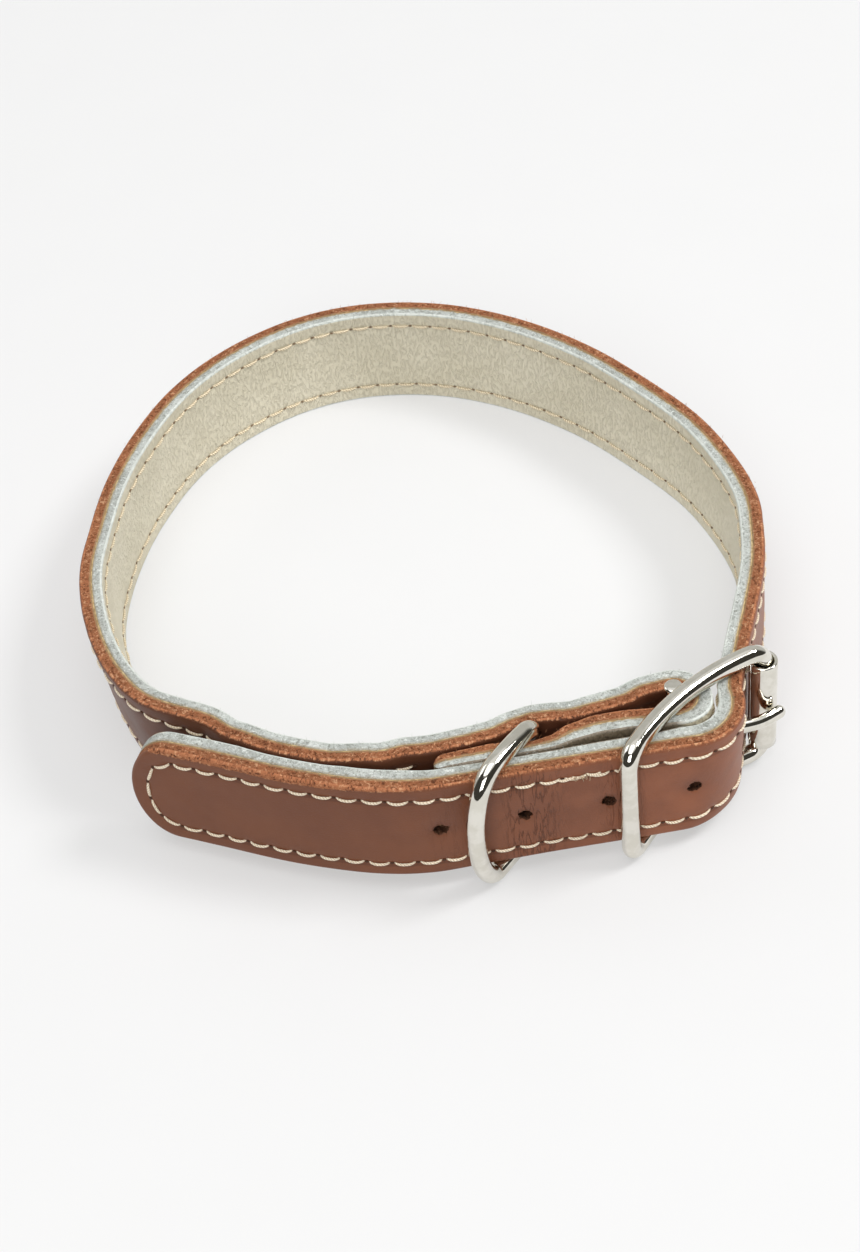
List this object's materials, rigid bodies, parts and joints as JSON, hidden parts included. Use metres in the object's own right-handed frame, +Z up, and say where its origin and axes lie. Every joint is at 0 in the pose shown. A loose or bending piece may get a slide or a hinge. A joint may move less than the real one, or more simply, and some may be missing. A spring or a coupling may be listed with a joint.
{
  "type": "dog collar",
  "caption": "Lined leather dog collar lying buckled in its loop, with a roller buckle, a row of punched holes, a D-shaped lead ring and a rounded tip.",
  "frame": {"origin": "middle of the whole collar's box in plan, on the surface it lies on", "axes": "+Z up along the neck's axis, -Y towards the overlapping front with the lead ring, +X towards the roller buckle's side"},
  "size_m": [0.1464, 0.164, 0.0337],
  "materials": {
    "brown_leather": "smooth satin tan outer face with a fibrous cut edge",
    "cream_leather": "soft matt off-white lining",
    "nickel": "polished nickel plate"
  },
  "bodies": {
    "root": {"strap_leather": "brown_leather", "strap_lining": "cream_leather", "buckle_frame": "nickel", "buckle_roller": "nickel", "buckle_prong": "nickel", "lead_ring": "nickel"}
  },
  "joints": []
}
